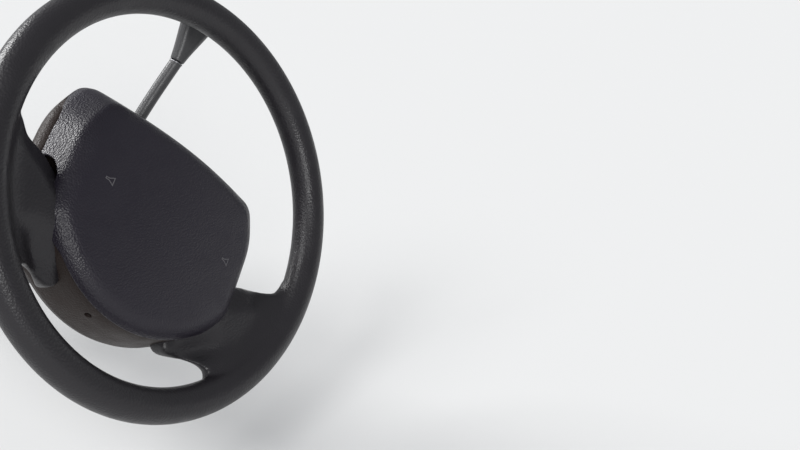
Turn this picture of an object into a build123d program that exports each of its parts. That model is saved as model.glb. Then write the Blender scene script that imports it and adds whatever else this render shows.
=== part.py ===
"""Steering wheel on its tilting column, with the gear selector lever, from a patrol car.

Everything is modelled along the column: its frame has z on the column's axis, towards the driver,
y up and x to the right, with z = 0 at the middle of the rim. The wheel has the same frame, turned
about z by the angle at which the parked wheel stands. Both frames are placed in the car at the end:
+X is to the right, +Y is forward, +Z is up, and the origin is where the column's bracket is bolted on.
"""

from build123d import *
from math import asin, atan2, cos, degrees, radians, sin, sqrt
import os

# How the column stands in the car, in degrees
RAKE = 24  # the column's slope above the horizontal
WHEEL_TURNED = 48  # clockwise, as the driver sees it

# The rim and its two broad spokes
RIM_R = 179  # to the middle of the section
RIM_SECTION_R = 16
SPOKE_BITE = 4  # how far the spokes run into the rim's section
OPENING_R = RIM_R - RIM_SECTION_R + SPOKE_BITE
SPOKE_TOP_Y = -29
SPOKE_FRONT_Z = -5
SPOKE_BACK_Z = -24
SPOKE_CORNER_R = 9
SPOKE_LAP = 9  # how far the foam goes on under the airbag cover
LOWER_GAP_ANGLE = 37  # from straight down to each of its ends
SPOKE_TIP_ANGLE = 32  # the foam along the back cover ends here

# The airbag cover, as its front outline, and the back cover behind it
COVER_HALF_W = 105
COVER_TOP_Y = 50
COVER_CORNER_IN, COVER_CORNER_DROP = 13, 8  # where the crowned top would meet the side
COVER_SIDE_Y = -5  # below this the sides are straight
COVER_BOTTOM_R = 124  # the lower edge is an arc about the wheel's centre
COVER_TOP_CORNER_R = 30
COVER_FOOT_CORNER_R = 16
COVER_FRONT_Z = 12
COVER_CROWN_R = 760
COVER_CROWN_Y = -37
COVER_EDGE_R = 8
COVER_EDGE_Z = -5
COVER_BACK_Z = -32
COVER_FLARE = 0.36  # the walls stand out by this much for each millimetre back
COVER_WALL = 4
TRAY_WIDE_Z = -46
TRAY_BACK_Z = -55
TRAY_GROWTH = 12  # beyond the front outline, at the widest
TRAY_LOWER_GROWTH = 8
TRAY_CLOSING = 5
TRAY_WALL = 3
ACCESS_HOLE_X, ACCESS_HOLE_Z = -23, -19  # for a screwdriver, in the lower wall
ACCESS_HOLE_R = 3.2
SEAM = 0.5
LOWER_GAP_R = COVER_BOTTOM_R + TRAY_LOWER_GROWTH + 2  # the lower opening lies outside this

# The shafts, and the metal inside the wheel
SHAFT_R = 9.5
RUNNING_FIT = 0.05
SEAT_GAP = 0.2
MOVING_GAP = 6  # between pieces that pass each other
PLATE_Z = TRAY_BACK_Z + TRAY_WALL + 3  # its back face
PLATE_T = 8
PLATE_R = 40
ARM_TOP_Y, ARM_BOTTOM_Y = -34, -62
ARM_T = 8
ARM_REACH = 24  # from the riser to the spoke's foot
ARM_FOOT_X = COVER_HALF_W - SPOKE_LAP
ARM_RISER_X = ARM_FOOT_X - ARM_REACH
NUT_ACROSS = 2 * SHAFT_R + 8
NUT_T = 6
SHAFT_TOP_Z = PLATE_Z + PLATE_T + NUT_T + 1
AIRBAG_H = 100
AIRBAG_Y = -32
AIRBAG_FRONT_Z = COVER_FRONT_Z - COVER_WALL - 6
AIRBAG_BACK_Z = SHAFT_TOP_Z + 1
BOSS_R = SHAFT_R + 5.5
BOSS_BACK_Z = -72
BALL_R = SHAFT_R + 1.5

# The tilt head: its casting, clock spring and covers
PIVOT_Z = -190
HOUSING_R = 30
HOUSING_FRONT_Z = BOSS_BACK_Z - MOVING_GAP
HOUSING_BACK_Z = -160
EAR_X = 24  # inner face of the housing's ears
EAR_T = 7
EAR_HALF_H = 13
PIN_R = 6
PAD_X = HOUSING_R + 4  # flats for the switch and the lock
CLOCK_SPRING_R = 42
CLOCK_SPRING_FRONT_Z = TRAY_BACK_Z - MOVING_GAP
CLOCK_SPRING_BORE_R = BOSS_R + MOVING_GAP
SHROUD_FRONT_Z = CLOCK_SPRING_FRONT_Z - 5
SHROUD_BACK_Z = -240
SHROUD_WALL = 3
SHROUD_POST_Z = -148
SHROUD_POST_R = 5
SCREW_R = 2.5
SCREW_HOLE_R = 2.7
SCREW_HEAD_R = 4.5
SCREW_HEAD_T = 2.5
SHROUD_SECTIONS = [
    # z, width, height, y of the middle, corner radius
    (SHROUD_FRONT_Z, 2 * HOUSING_R + 52, 2 * HOUSING_R + 40, -2, 40),
    (-150, 2 * HOUSING_R + 62, 2 * HOUSING_R + 52, -4, 36),
    (SHROUD_BACK_Z, 2 * HOUSING_R + 52, 2 * HOUSING_R + 44, -6, 30),
]

# The fixed part: yoke, tube, bracket and lower bearing
YOKE_EAR_T = 6
YOKE_EAR_GAP = 0.5
YOKE_FLANGE_Z = PIVOT_Z - EAR_HALF_H - 11
YOKE_FLANGE_T = 4
YOKE_PLUG_L = 32
TUBE_R = 25
TUBE_WALL = 2.5
TUBE_FRONT_Z = YOKE_FLANGE_Z - YOKE_FLANGE_T
TUBE_BACK_Z = -505
LOWER_SHAFT_TOP_Z = PIVOT_Z - BALL_R - MOVING_GAP
LOWER_SHAFT_OUT = 65  # how far the lower shaft stands out of the tube
LOWER_END_Z = TUBE_BACK_Z - LOWER_SHAFT_OUT
COUPLING_R = SHAFT_R - 1.5  # the turned-down end that the next joint clamps
COUPLING_L = 35
BRACKET_Z = -330  # the middle of the four bolts
BRACKET_TOP_Y = 52
BRACKET_T = 4
BRACKET_SIZE = 130
BOLT_SPACING = 100
BOLT_HOLE_R = 4.5
WEB_LENGTH = 110
WEB_FOOT_Y = -14
LOWER_BEARING_T = 12

# The gear selector, in Park: its rod bends forward and up to the grip
COLLAR_R = HOUSING_R + 12
COLLAR_W = 18
SELECTOR_PATH = [(33, 20, -128), (60, 37, -125), (88, 72, -109), (118, 113, -81)]
SELECTOR_BEND_R = 60
SELECTOR_ROD_R = 6
SELECTOR_TRAVEL = 44  # from Park to the lowest gear
SLOT_CLEARANCE = 7
GRIP_DIRECTION = (0.60, 0.68, 0.42)
GRIP_LENGTH = 56
GRIP_GAP = 0.8
GRIP_ROOT = (17, 15)  # width, thickness
GRIP_END = (42, 17)

# Small controls on the head
STALK_Z = -96
STALK_LENGTH = 150
STALK_ROOT_R, STALK_WAIST_R, STALK_END_R = 5, 6, 9
STALK_DIRECTION = (-1, 0.06, 0.12)
SWITCH_SIZE = (14, 28, 28)
TILT_LEVER_Y, TILT_LEVER_Z = -4, -172
TILT_LEVER_LENGTH = 70
TILT_LEVER_R = 3.5
TILT_PADDLE = (10, 18, 26)
LOCK_Y, LOCK_Z = -24, -92
LOCK_R = 12
LOCK_REACH = 70
KEY_SIZE = (22, 3, 20)
HAZARD_Z = -98
HAZARD_R = 8
HAZARD_STANDS = 4

# The frames
axis = Vector(0, -cos(radians(RAKE)), sin(radians(RAKE)))
upright = Vector(0, sin(radians(RAKE)), cos(radians(RAKE)))
across = Vector(1, 0, 0)
rim_middle = -(upright * BRACKET_TOP_Y + axis * BRACKET_Z)
wheel_across = across * cos(radians(WHEEL_TURNED)) - upright * sin(radians(WHEEL_TURNED))
column_frame = Plane(origin=rim_middle, x_dir=across, z_dir=axis)
wheel_frame = Plane(origin=rim_middle, x_dir=wheel_across, z_dir=axis)


def at(z):
    """The plane across the column at z."""
    return Plane.XY.offset(z)


def save(piece, name, frame):
    """Places a finished piece in the car and writes it as parts/name.step."""
    placed = frame.from_local_coords(piece.part)
    placed.label = name
    export_step(placed, f"parts/{name}.step")
    print(name, "solids", len(placed.solids()), "volume", round(placed.volume))


def cover_face(grow=0.0, lower_grow=None):
    """The airbag cover seen from the front: a crowned top, full sides, and an arc below."""
    half_w = COVER_HALF_W + grow
    bottom_r = COVER_BOTTOM_R + (grow if lower_grow is None else lower_grow)
    foot = (half_w, -sqrt(bottom_r**2 - half_w**2))
    corner_x = COVER_HALF_W - COVER_CORNER_IN + 0.62 * grow
    corner = (corner_x, COVER_TOP_Y - COVER_CORNER_DROP + 0.91 * grow)
    with BuildSketch() as face:
        with BuildLine():
            ThreePointArc((-corner[0], corner[1]), (0, COVER_TOP_Y + grow), corner)
            side = TangentArc((half_w, COVER_SIDE_Y), corner, tangent=(0, 1))
            Line((half_w, COVER_SIDE_Y), foot)
            ThreePointArc(foot, (0, -bottom_r), (-foot[0], foot[1]))
            Line((-foot[0], foot[1]), (-half_w, COVER_SIDE_Y))
            mirror(side, about=Plane.YZ)
        make_face()
        fillet(face.vertices().filter_by_position(Axis.Y, 20, 90), COVER_TOP_CORNER_R + grow)
        fillet(face.vertices().group_by(Axis.Y)[0], COVER_FOOT_CORNER_R + grow)
    return face.sketch


def grown(z):
    """How far the airbag cover's walls stand out of its front outline at z."""
    return (COVER_EDGE_Z - z) * COVER_FLARE


def lower_sector(half_angle, reach):
    """A sector about the wheel's centre, half_angle to each side of straight down."""
    with BuildSketch() as sector:
        with BuildLine():
            arc = CenterArc((0, 0), reach, 270 - half_angle, 2 * half_angle)
            Line((0, 0), arc @ 0)
            Line((0, 0), arc @ 1)
        make_face()
    return sector.sketch


def ring(inner, outer, z_from, z_to):
    """A plain ring about the column's axis."""
    with BuildPart() as band:
        with BuildSketch(at(z_from)):
            Circle(outer)
            Circle(inner, mode=Mode.SUBTRACT)
        extrude(amount=z_to - z_from)
    return band


os.makedirs("parts", exist_ok=True)

# Rim: the foam ring and its two spokes, which are one moulding
with BuildSketch() as upper_opening:
    Circle(OPENING_R)
    with Locations((0, SPOKE_TOP_Y)):
        Rectangle(2 * RIM_R, RIM_R, align=(Align.CENTER, Align.MAX), mode=Mode.SUBTRACT)
    fillet(upper_opening.vertices(), SPOKE_CORNER_R)

with BuildSketch() as lower_opening:
    Circle(OPENING_R)
    Circle(LOWER_GAP_R, mode=Mode.SUBTRACT)
    add(lower_sector(LOWER_GAP_ANGLE, 2 * RIM_R), mode=Mode.INTERSECT)
    fillet(lower_opening.vertices(), SPOKE_CORNER_R)
    add(lower_sector(SPOKE_TIP_ANGLE, LOWER_GAP_R + 3))

with BuildPart() as wheel_rim:
    with BuildSketch(Plane.XZ):
        with Locations((RIM_R, 0)):
            Circle(RIM_SECTION_R)
    revolve(axis=Axis.Z)
    with BuildSketch(at(SPOKE_BACK_Z)):
        Circle(RIM_R)
        add(upper_opening.sketch, mode=Mode.SUBTRACT)
        add(lower_opening.sketch, mode=Mode.SUBTRACT)
        add(cover_face(-SPOKE_LAP), mode=Mode.SUBTRACT)
    extrude(amount=SPOKE_FRONT_Z - SPOKE_BACK_Z)

# Airbag cover: a crowned shell, its walls flared towards the back and cut short over the spokes


def crowned(inset):
    """The airbag cover's solid form, or its hollow when inset by the wall."""
    with BuildPart() as form:
        for z in (COVER_BACK_Z, COVER_FRONT_Z + SEAM):
            with BuildSketch(at(z)):
                add(cover_face(grown(z) - inset))
        loft(ruled=True)
        with Locations((0, COVER_CROWN_Y, COVER_FRONT_Z - COVER_CROWN_R)):
            Sphere(COVER_CROWN_R - inset, rotation=(90, 0, 0), mode=Mode.INTERSECT)
        fillet(form.faces().sort_by(Axis.Z)[-1].edges(), COVER_EDGE_R - inset)
    return form.part


with BuildPart() as airbag_cover:
    add(crowned(0))
    add(crowned(COVER_WALL), mode=Mode.SUBTRACT)
    with BuildSketch(at(COVER_BACK_Z)):
        with Locations((0, SPOKE_TOP_Y + SEAM)):
            Rectangle(400, 200, align=(Align.CENTER, Align.MAX))
    extrude(amount=SPOKE_FRONT_Z + SEAM - COVER_BACK_Z, mode=Mode.SUBTRACT)

# Back cover: the tray behind, whose lower wall comes forward to the airbag cover
with BuildPart() as back_cover:
    tray = (
        # z, growth, growth of the lower edge
        (SPOKE_FRONT_Z, -SEAM, -SEAM),
        (TRAY_WIDE_Z, TRAY_GROWTH, TRAY_LOWER_GROWTH),
        (TRAY_BACK_Z, TRAY_GROWTH - TRAY_CLOSING, TRAY_LOWER_GROWTH - TRAY_CLOSING),
    )
    for inset, mode in ((0, Mode.ADD), (TRAY_WALL, Mode.SUBTRACT)):
        for front, back in zip(tray, tray[1:]):
            for z, growth, lower_growth in (front, back):
                inner_z = z + inset if z == TRAY_BACK_Z else z
                with BuildSketch(at(inner_z)):
                    add(cover_face(growth - inset, lower_growth - inset))
            loft(ruled=True, mode=mode)
    with BuildSketch(at(COVER_BACK_Z - SEAM)):
        with Locations((0, SPOKE_TOP_Y - SEAM)):
            Rectangle(400, 200, align=(Align.CENTER, Align.MIN))
    extrude(amount=60, mode=Mode.SUBTRACT)
    with BuildSketch(at(SPOKE_BACK_Z - SEAM)):
        Rectangle(400, 400)
        add(lower_sector(SPOKE_TIP_ANGLE - 0.5, 190), mode=Mode.SUBTRACT)
    extrude(amount=60, mode=Mode.SUBTRACT)
    with BuildSketch(at(TRAY_BACK_Z)):
        Circle(CLOCK_SPRING_BORE_R)
    extrude(amount=2 * TRAY_WALL, mode=Mode.SUBTRACT)
    with BuildSketch(Plane.XZ.offset(COVER_BOTTOM_R / 2)):
        with Locations((ACCESS_HOLE_X, ACCESS_HOLE_Z)):
            Circle(ACCESS_HOLE_R)
    extrude(amount=COVER_BOTTOM_R, mode=Mode.SUBTRACT)

# Armature: hub plate and boss, with an arm that rises to each spoke's foot
with BuildPart() as wheel_armature:
    arm_y = (ARM_TOP_Y + ARM_BOTTOM_Y) / 2
    arm_w = ARM_TOP_Y - ARM_BOTTOM_Y
    arm_z = (SPOKE_FRONT_Z + SPOKE_BACK_Z) / 2
    with BuildSketch(at(PLATE_Z)):
        Circle(PLATE_R)
        with Locations((0, arm_y)):
            Rectangle(2 * (ARM_RISER_X + ARM_T), arm_w)
    extrude(amount=PLATE_T)
    with BuildSketch(Plane.XZ.offset(-arm_y)) as risers:
        for side in (-1, 1):
            with Locations((side * (ARM_RISER_X + ARM_T / 2), (PLATE_Z + arm_z) / 2)):
                Rectangle(ARM_T, arm_z - PLATE_Z + ARM_T)
            with Locations((side * (ARM_RISER_X + ARM_FOOT_X) / 2, arm_z)):
                Rectangle(ARM_FOOT_X - ARM_RISER_X, ARM_T)
    extrude(amount=arm_w / 2, both=True)
    with BuildSketch(at(PLATE_Z)):
        Rectangle(400, 400)
    extrude(amount=-20, mode=Mode.SUBTRACT)
    add(ring(SHAFT_R, BOSS_R, BOSS_BACK_Z, PLATE_Z).part)
    with BuildSketch(at(BOSS_BACK_Z)):
        Circle(SHAFT_R + SEAT_GAP)
    extrude(amount=PLATE_Z + PLATE_T - BOSS_BACK_Z, mode=Mode.SUBTRACT)

# Airbag: the folded bag and its inflator, as one plain block between the risers
with BuildPart() as airbag_module:
    with BuildSketch(at(AIRBAG_BACK_Z)):
        with Locations((0, AIRBAG_Y)):
            RectangleRounded(2 * ARM_RISER_X, AIRBAG_H, 12)
    extrude(amount=AIRBAG_FRONT_Z - AIRBAG_BACK_Z)

# Upper shaft, which the wheel turns, down to the ball joint at the tilt pivot
with BuildPart() as upper_shaft:
    with BuildSketch(at(PIVOT_Z)):
        Circle(SHAFT_R)
    extrude(amount=SHAFT_TOP_Z - PIVOT_Z)
    with Locations((0, 0, PIVOT_Z)):
        Sphere(BALL_R)

with BuildPart() as shaft_nut:
    with BuildSketch(at(PLATE_Z + PLATE_T)):
        RegularPolygon(NUT_ACROSS / 2, 6, major_radius=False)
        Circle(SHAFT_R + SEAT_GAP, mode=Mode.SUBTRACT)
    extrude(amount=NUT_T)

# Clock spring: the flat drum that carries the airbag's wires round the shaft
clock_spring = ring(
    CLOCK_SPRING_BORE_R, CLOCK_SPRING_R, HOUSING_FRONT_Z, CLOCK_SPRING_FRONT_Z
)

# Tilt housing: the casting that holds the upper shaft, with flats for the controls, forked behind
with BuildPart() as tilt_housing:
    with BuildSketch(at(HOUSING_BACK_Z)):
        Circle(HOUSING_R)
    extrude(amount=HOUSING_FRONT_Z - HOUSING_BACK_Z)
    for y, z, side, size in ((0, STALK_Z, -1, SWITCH_SIZE[2]), (LOCK_Y, LOCK_Z, 1, 2 * LOCK_R)):
        with Locations((side * PAD_X / 2, y, z)):
            Box(PAD_X, size, size)
    with BuildSketch(Plane.YZ.offset(-EAR_X - EAR_T)):
        with Locations((0, (HOUSING_BACK_Z + 20 + PIVOT_Z) / 2)):
            Rectangle(2 * EAR_HALF_H, HOUSING_BACK_Z + 20 - PIVOT_Z)
        with Locations((0, PIVOT_Z)):
            Circle(EAR_HALF_H)
    extrude(amount=2 * (EAR_X + EAR_T))
    with BuildSketch(Plane.YZ.offset(-EAR_X)):
        with Locations((0, HOUSING_BACK_Z)):
            Rectangle(4 * EAR_HALF_H, 60, align=(Align.CENTER, Align.MAX))
    extrude(amount=2 * EAR_X, mode=Mode.SUBTRACT)
    with BuildSketch(Plane.YZ.offset(-2 * EAR_X)):
        with Locations((0, PIVOT_Z)):
            Circle(PIN_R + RUNNING_FIT)
    extrude(amount=4 * EAR_X, mode=Mode.SUBTRACT)
    with BuildSketch(at(HOUSING_BACK_Z)):
        Circle(SHAFT_R + RUNNING_FIT)
    extrude(amount=HOUSING_FRONT_Z - HOUSING_BACK_Z, mode=Mode.SUBTRACT)

# Column covers: two shells that meet at the middle, with openings for the controls
rod_angle = degrees(asin((SELECTOR_ROD_R + SLOT_CLEARANCE) / (SHROUD_SECTIONS[1][1] / 2)))
park_angle = degrees(atan2(SELECTOR_PATH[1][1], SELECTOR_PATH[1][0]))
shells = {}
for half, side, keep in (("upper", 1, Keep.TOP), ("lower", -1, Keep.BOTTOM)):
    with BuildPart() as shell:
        for inset, mode in ((0, Mode.ADD), (SHROUD_WALL, Mode.SUBTRACT)):
            for z, width, height, middle_y, corner in SHROUD_SECTIONS:
                shift = {SHROUD_FRONT_Z: -inset, SHROUD_BACK_Z: -0.1 * inset}.get(z, 0)
                with BuildSketch(at(z + shift)):
                    with Locations((0, middle_y)):
                        RectangleRounded(width - 2 * inset, height - 2 * inset, corner - inset)
            loft(mode=mode)
        with BuildSketch(at(SHROUD_FRONT_Z)):
            Circle(CLOCK_SPRING_R + SEAT_GAP)
        extrude(amount=-2 * SHROUD_WALL, mode=Mode.SUBTRACT)
        post_end_y = SHROUD_SECTIONS[1][3] + side * (SHROUD_SECTIONS[1][2] - SHROUD_WALL) / 2
        post_foot_y = side * (HOUSING_R + SEAT_GAP)
        with BuildSketch(Plane.XZ.offset(-post_foot_y)):
            with Locations((0, SHROUD_POST_Z)):
                Circle(SHROUD_POST_R)
        extrude(amount=post_foot_y - post_end_y)
        if half == "lower":
            with BuildSketch(Plane.XZ.offset(-post_foot_y)):
                with Locations((0, SHROUD_POST_Z)):
                    Circle(SCREW_HOLE_R)
            extrude(amount=2 * SHROUD_SECTIONS[1][2], mode=Mode.SUBTRACT)
        with BuildSketch(at(SELECTOR_PATH[1][2] - SELECTOR_ROD_R - SLOT_CLEARANCE)):
            with BuildLine():
                low = park_angle - SELECTOR_TRAVEL - rod_angle
                far = CenterArc((0, 0), 2.2 * COLLAR_R, low, SELECTOR_TRAVEL + 2 * rod_angle)
                near = CenterArc((0, 0), COLLAR_R + 4, low, SELECTOR_TRAVEL + 2 * rod_angle)
                Line(far @ 0, near @ 0)
                Line(far @ 1, near @ 1)
            make_face()
        extrude(amount=2 * (SELECTOR_ROD_R + SLOT_CLEARANCE), mode=Mode.SUBTRACT)
        for y, z, right, hole_r in (
            (0, STALK_Z, -1, STALK_ROOT_R + 4),
            (TILT_LEVER_Y, TILT_LEVER_Z, -1, TILT_LEVER_R + 3),
            (LOCK_Y, LOCK_Z, 1, LOCK_R + 1),
        ):
            with BuildSketch(Plane.YZ.offset(right * PAD_X)):
                with Locations((y, z)):
                    Circle(hole_r)
            extrude(amount=right * 50, mode=Mode.SUBTRACT)
        with BuildSketch(Plane.XZ.offset(-HOUSING_R)):
            with Locations((0, HAZARD_Z)):
                Circle(HAZARD_R + SEAM)
        extrude(amount=-50, mode=Mode.SUBTRACT)
        split(bisect_by=Plane.ZX, keep=keep)
    shells[half] = shell

# Screw that holds the lower cover, its head under the column
screw_seat_y = SHROUD_SECTIONS[1][3] - SHROUD_SECTIONS[1][2] / 2
with BuildPart() as cover_screw:
    with BuildSketch(Plane.XZ.offset(-screw_seat_y)):
        with Locations((0, SHROUD_POST_Z)):
            Circle(SCREW_R)
    extrude(amount=screw_seat_y + HOUSING_R + MOVING_GAP)
    with BuildSketch(Plane.XZ.offset(-screw_seat_y)):
        with Locations((0, SHROUD_POST_Z)):
            Circle(SCREW_HEAD_R)
    extrude(amount=SCREW_HEAD_T)

# Turn signal stalk and its switch
with BuildPart() as turn_signal_switch:
    with Locations((-PAD_X, 0, STALK_Z)):
        Box(*SWITCH_SIZE, align=(Align.MAX, Align.CENTER, Align.CENTER))

with BuildPart() as turn_signal_stalk:
    stalk_plane = Plane(origin=(-PAD_X - SWITCH_SIZE[0] + 2, 0, STALK_Z), z_dir=STALK_DIRECTION)
    radii = ((0, STALK_ROOT_R), (0.35, STALK_WAIST_R), (1, STALK_END_R))
    for start, end in zip(radii, radii[1:]):
        for share, radius in (start, end):
            with BuildSketch(stalk_plane.offset(share * STALK_LENGTH)):
                Circle(radius)
        loft(ruled=True)
    with BuildSketch(Plane.YZ.offset(-PAD_X - SWITCH_SIZE[0])):
        with Locations((0, STALK_Z)):
            Circle(2 * STALK_END_R)
    extrude(amount=20, mode=Mode.SUBTRACT)

# Tilt lever, on the left ear
with BuildPart() as tilt_lever:
    lever_plane = Plane(origin=(-EAR_X - EAR_T, TILT_LEVER_Y, TILT_LEVER_Z), z_dir=(-1, 0, 0))
    with BuildSketch(lever_plane):
        Circle(TILT_LEVER_R)
    extrude(amount=TILT_LEVER_LENGTH)
    with BuildSketch(lever_plane.offset(TILT_LEVER_LENGTH)):
        RectangleRounded(TILT_PADDLE[0], TILT_PADDLE[1], 4)
    extrude(amount=TILT_PADDLE[2])

# Ignition lock and its key, on the right of the housing
with BuildPart() as ignition_lock:
    with BuildSketch(Plane.YZ.offset(PAD_X)):
        with Locations((LOCK_Y, LOCK_Z)):
            Circle(LOCK_R)
    extrude(amount=LOCK_REACH - PAD_X)

with BuildPart() as ignition_key:
    with Locations((LOCK_REACH, LOCK_Y, LOCK_Z)):
        Box(*KEY_SIZE, align=(Align.MIN, Align.CENTER, Align.CENTER))

# Hazard button, on top of the covers
with BuildPart() as hazard_button:
    with BuildSketch(Plane.XZ.offset(-HOUSING_R - SEAT_GAP)):
        with Locations((0, HAZARD_Z)):
            Circle(HAZARD_R)
    extrude(amount=-(SHROUD_SECTIONS[0][2] / 2 + HAZARD_STANDS - HOUSING_R))

# Gear selector, in Park: collar on the housing, bent rod, and a grip that widens to its end
collar_back_z = SELECTOR_PATH[0][2] - COLLAR_W / 2
selector_collar = ring(
    HOUSING_R + RUNNING_FIT, COLLAR_R, collar_back_z, collar_back_z + COLLAR_W
)

with BuildPart() as selector_rod:
    with BuildLine() as rod_line:
        FilletPolyline(*SELECTOR_PATH, radius=SELECTOR_BEND_R)
    with BuildSketch(Plane(origin=rod_line.line @ 0, z_dir=rod_line.line % 0)):
        Circle(SELECTOR_ROD_R)
    sweep()
    with BuildSketch(at(collar_back_z - 10)):
        Circle(COLLAR_R)
    extrude(amount=COLLAR_W + 20, mode=Mode.SUBTRACT)

with BuildPart() as selector_grip:
    grip_plane = Plane(origin=SELECTOR_PATH[-1], x_dir=(0.7, -0.7, 0), z_dir=GRIP_DIRECTION)
    for share, (width, thickness) in ((0, GRIP_ROOT), (1, GRIP_END)):
        with BuildSketch(grip_plane.offset(GRIP_GAP + share * GRIP_LENGTH)):
            RectangleRounded(width, thickness, 0.45 * thickness)
    loft()

# Pivot yoke, plugged into the tube, and the two pins the head tilts on
with BuildPart() as pivot_yoke:
    yoke_ear_x = EAR_X - YOKE_EAR_GAP - YOKE_EAR_T
    for side in (-1, 1):
        with BuildSketch(Plane.YZ.offset(side * (yoke_ear_x + YOKE_EAR_T / 2))):
            with Locations((0, (YOKE_FLANGE_Z + PIVOT_Z) / 2)):
                Rectangle(2 * EAR_HALF_H, PIVOT_Z - YOKE_FLANGE_Z)
            with Locations((0, PIVOT_Z)):
                Circle(EAR_HALF_H)
                Circle(PIN_R + SEAT_GAP, mode=Mode.SUBTRACT)
        extrude(amount=YOKE_EAR_T / 2, both=True)
    add(ring(SHAFT_R + RUNNING_FIT, TUBE_R, TUBE_FRONT_Z, YOKE_FLANGE_Z).part)
    plug_z = TUBE_FRONT_Z - YOKE_PLUG_L
    add(ring(SHAFT_R + RUNNING_FIT, TUBE_R - TUBE_WALL, plug_z, TUBE_FRONT_Z).part)

pins = {}
for name, side in (("left", -1), ("right", 1)):
    with BuildPart() as pin:
        with BuildSketch(Plane.YZ.offset(side * yoke_ear_x)):
            with Locations((0, PIVOT_Z)):
                Circle(PIN_R)
        extrude(amount=side * (EAR_X + EAR_T - yoke_ear_x))
    pins[name] = pin

# Column tube and its lower bearing
column_tube = ring(TUBE_R - TUBE_WALL, TUBE_R, TUBE_BACK_Z, TUBE_FRONT_Z)
lower_bearing = ring(
    SHAFT_R + RUNNING_FIT, TUBE_R - TUBE_WALL, TUBE_BACK_Z, TUBE_BACK_Z + LOWER_BEARING_T
)

# Mounting bracket: a plate with four bolt holes on two webs that grip the tube
with BuildPart() as mounting_bracket:
    with BuildSketch(Plane.XZ.offset(-(BRACKET_TOP_Y - BRACKET_T))):
        with Locations((0, BRACKET_Z)):
            RectangleRounded(BRACKET_SIZE, BRACKET_SIZE, 12)
            with GridLocations(BOLT_SPACING, BOLT_SPACING, 2, 2):
                Circle(BOLT_HOLE_R, mode=Mode.SUBTRACT)
    extrude(amount=-BRACKET_T)
    for side in (-1, 1):
        with Locations((side * (TUBE_R + BRACKET_T / 2), WEB_FOOT_Y, BRACKET_Z)):
            Box(
                BRACKET_T,
                BRACKET_TOP_Y - BRACKET_T - WEB_FOOT_Y,
                WEB_LENGTH,
                align=(Align.CENTER, Align.MIN, Align.CENTER),
            )

# Lower shaft, which carries the wheel's turning on to the steering gear
with BuildPart() as lower_shaft:
    with BuildSketch(at(LOWER_END_Z)):
        Circle(COUPLING_R)
    extrude(amount=COUPLING_L)
    with BuildSketch(at(LOWER_END_Z + COUPLING_L)):
        Circle(SHAFT_R)
    extrude(amount=LOWER_SHAFT_TOP_Z - LOWER_END_Z - COUPLING_L)

save(wheel_rim, "wheel_rim", wheel_frame)
save(airbag_cover, "airbag_cover", wheel_frame)
save(back_cover, "back_cover", wheel_frame)
save(wheel_armature, "wheel_armature", wheel_frame)
save(airbag_module, "airbag_module", wheel_frame)
save(upper_shaft, "upper_shaft", wheel_frame)
save(shaft_nut, "shaft_nut", wheel_frame)
save(clock_spring, "clock_spring", column_frame)
save(tilt_housing, "tilt_housing", column_frame)
save(shells["upper"], "upper_column_cover", column_frame)
save(shells["lower"], "lower_column_cover", column_frame)
save(cover_screw, "cover_screw", column_frame)
save(turn_signal_switch, "turn_signal_switch", column_frame)
save(turn_signal_stalk, "turn_signal_stalk", column_frame)
save(tilt_lever, "tilt_lever", column_frame)
save(ignition_lock, "ignition_lock", column_frame)
save(ignition_key, "ignition_key", column_frame)
save(hazard_button, "hazard_button", column_frame)
save(selector_collar, "selector_collar", column_frame)
save(selector_rod, "selector_rod", column_frame)
save(selector_grip, "selector_grip", column_frame)
save(pivot_yoke, "pivot_yoke", column_frame)
save(pins["left"], "left_pivot_pin", column_frame)
save(pins["right"], "right_pivot_pin", column_frame)
save(column_tube, "column_tube", column_frame)
save(lower_bearing, "lower_bearing", column_frame)
save(mounting_bracket, "mounting_bracket", column_frame)
save(lower_shaft, "lower_shaft", column_frame)
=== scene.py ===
import math

import bmesh
import bpy
from mathutils import Matrix, Vector


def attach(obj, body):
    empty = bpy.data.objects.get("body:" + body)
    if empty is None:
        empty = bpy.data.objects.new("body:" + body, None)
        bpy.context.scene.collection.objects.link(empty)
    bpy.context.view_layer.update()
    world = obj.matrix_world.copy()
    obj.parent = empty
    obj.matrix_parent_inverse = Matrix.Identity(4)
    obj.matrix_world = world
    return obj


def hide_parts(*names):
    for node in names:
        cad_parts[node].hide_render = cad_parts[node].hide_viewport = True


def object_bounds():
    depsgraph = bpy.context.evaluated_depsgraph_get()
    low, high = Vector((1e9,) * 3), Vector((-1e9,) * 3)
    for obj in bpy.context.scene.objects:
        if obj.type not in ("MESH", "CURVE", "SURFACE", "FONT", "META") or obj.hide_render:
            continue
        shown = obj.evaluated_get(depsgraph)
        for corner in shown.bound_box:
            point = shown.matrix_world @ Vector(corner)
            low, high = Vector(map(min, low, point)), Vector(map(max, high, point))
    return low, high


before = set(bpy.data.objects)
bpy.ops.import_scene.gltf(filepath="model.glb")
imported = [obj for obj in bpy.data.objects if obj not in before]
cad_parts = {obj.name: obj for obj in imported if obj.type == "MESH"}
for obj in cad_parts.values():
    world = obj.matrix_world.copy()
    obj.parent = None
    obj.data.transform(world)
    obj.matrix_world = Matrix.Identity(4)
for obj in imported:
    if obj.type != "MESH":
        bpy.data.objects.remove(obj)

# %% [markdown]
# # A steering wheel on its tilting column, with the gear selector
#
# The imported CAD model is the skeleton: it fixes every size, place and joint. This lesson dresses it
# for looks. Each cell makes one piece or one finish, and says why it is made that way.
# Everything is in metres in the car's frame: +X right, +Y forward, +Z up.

cad_lo, cad_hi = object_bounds()
scene = bpy.context.scene
print("CAD box", [round(b - a, 3) for a, b in zip(cad_lo, cad_hi)])

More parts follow.
